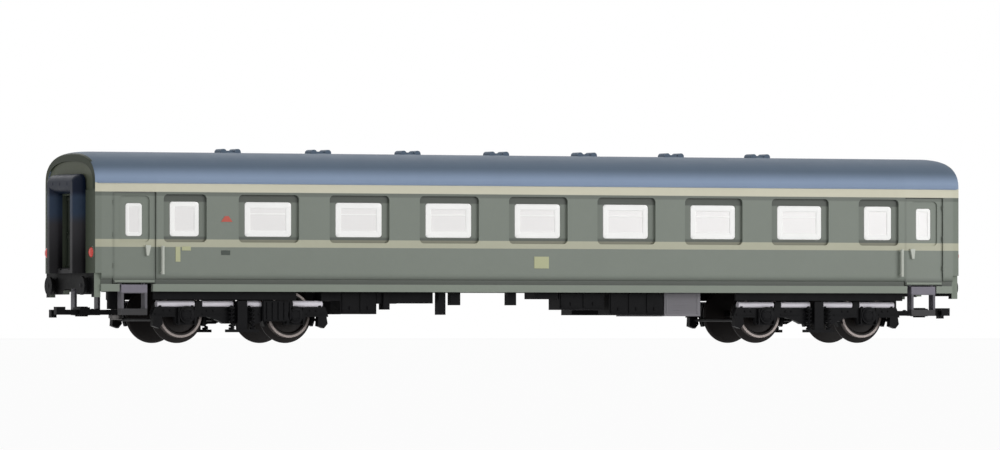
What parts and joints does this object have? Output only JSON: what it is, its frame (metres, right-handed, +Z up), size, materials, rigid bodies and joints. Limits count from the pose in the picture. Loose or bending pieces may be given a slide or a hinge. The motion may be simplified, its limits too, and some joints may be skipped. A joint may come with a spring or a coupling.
{
  "type": "scale model railway passenger coach",
  "caption": "Scale model of a bogie passenger coach with compartment windows, end doors, gangways, couplers that swing, bogies that swivel and wheelsets that roll.",
  "frame": {"origin": "bottom centre of the bounding box: on the middle line, halfway between the coupler heads, at the lowest point of the wheel flanges", "axes": "+X along the coach towards its rear end, +Y across it to the corridor side, +Z up"},
  "size_m": [0.1772, 0.0252, 0.0342],
  "materials": {
    "roof_grey": "satin blue-grey paint",
    "body_green": "satin grey-green paint with cream stripes",
    "end_green": "satin dark green paint",
    "milky_glazing": "milky clear plastic",
    "gangway_rubber": "dark grey moulding",
    "lamp_red": "red lens",
    "rail_white": "white paint",
    "underframe_black": "matt black moulding",
    "step_grey": "matt dark grey",
    "box_grey": "matt mid grey",
    "ballast_steel": "rolled",
    "screw_steel": "plain",
    "inside_beige": "matt moulding",
    "seat_red": "matt moulding",
    "bogie_black": "matt black moulding",
    "wheel_metal": "turned and blackened, bright on the tread",
    "axle_steel": "blackened"
  },
  "bodies": {
    "coach": {"roof": "roof_grey", "roof_vents": "roof_grey", "side_wall_left": "body_green", "side_wall_right": "body_green", "end_wall_front": "end_green", "end_wall_rear": "end_green", "door_front_left": "body_green", "door_front_right": "body_green", "door_rear_left": "body_green", "door_rear_right": "body_green", "glass_left": "milky_glazing", "glass_right": "milky_glazing", "door_panes": "milky_glazing", "gangway_front": "gangway_rubber", "gangway_rear": "gangway_rubber", "gangway_door_front": "end_green", "gangway_door_rear": "end_green", "tail_lamps": "lamp_red", "handrails": "rail_white", "door_handles": "rail_white", "floor_pan": "underframe_black", "ballast": "ballast_steel", "compartments": "inside_beige", "seats": "seat_red", "sole_bars": "body_green", "buffer_beam_front": "underframe_black", "buffer_beam_rear": "underframe_black", "buffers": "underframe_black", "entrance_steps": "step_grey", "battery_boxes": "underframe_black", "equipment_boxes": "underframe_black", "converter_boxes": "box_grey", "brake_gear": "underframe_black", "air_reservoir": "underframe_black", "pivot_screws": "screw_steel"},
    "front_bogie": {"bogie_frame_front": "bogie_black", "bogie_hangers_front": "bogie_black", "bogie_springs_front": "bogie_black", "bogie_brakes_front": "bogie_black"},
    "rear_bogie": {"bogie_frame_rear": "bogie_black", "bogie_hangers_rear": "bogie_black", "bogie_springs_rear": "bogie_black", "bogie_brakes_rear": "bogie_black"},
    "wheelset_1": {"wheels_1": "wheel_metal", "axle_1": "axle_steel"},
    "wheelset_2": {"wheels_2": "wheel_metal", "axle_2": "axle_steel"},
    "wheelset_3": {"wheels_3": "wheel_metal", "axle_3": "axle_steel"},
    "wheelset_4": {"wheels_4": "wheel_metal", "axle_4": "axle_steel"},
    "front_coupler": {"coupler_front": "bogie_black"},
    "rear_coupler": {"coupler_rear": "bogie_black"}
  },
  "joints": [
    {"name": "front_bogie_swivel", "type": "hinge", "parent": "coach", "child": "front_bogie", "pos_m": [-0.057, 0, 0.005], "axis": [0, 0, 1], "range_deg": [-12, 12]},
    {"name": "front_coupler_swing", "type": "hinge", "parent": "coach", "child": "front_coupler", "pos_m": [-0.0766, 0, 0.0054], "axis": [0, 0, 1], "range_deg": [-18, 18]},
    {"name": "rear_bogie_swivel", "type": "hinge", "parent": "coach", "child": "rear_bogie", "pos_m": [0.057, 0, 0.005], "axis": [0, 0, 1], "range_deg": [-12, 12]},
    {"name": "rear_coupler_swing", "type": "hinge", "parent": "coach", "child": "rear_coupler", "pos_m": [0.0766, 0, 0.0054], "axis": [0, 0, 1], "range_deg": [-18, 18]},
    {"name": "wheelset_1_roll", "type": "hinge", "parent": "front_bogie", "child": "wheelset_1", "pos_m": [-0.0674, 0, 0.005], "axis": [0, 1, 0], "continuous": true},
    {"name": "wheelset_2_roll", "type": "hinge", "parent": "front_bogie", "child": "wheelset_2", "pos_m": [-0.0466, 0, 0.005], "axis": [0, 1, 0], "continuous": true},
    {"name": "wheelset_3_roll", "type": "hinge", "parent": "rear_bogie", "child": "wheelset_3", "pos_m": [0.0466, 0, 0.005], "axis": [0, 1, 0], "continuous": true},
    {"name": "wheelset_4_roll", "type": "hinge", "parent": "rear_bogie", "child": "wheelset_4", "pos_m": [0.0674, 0, 0.005], "axis": [0, 1, 0], "continuous": true}
  ]
}
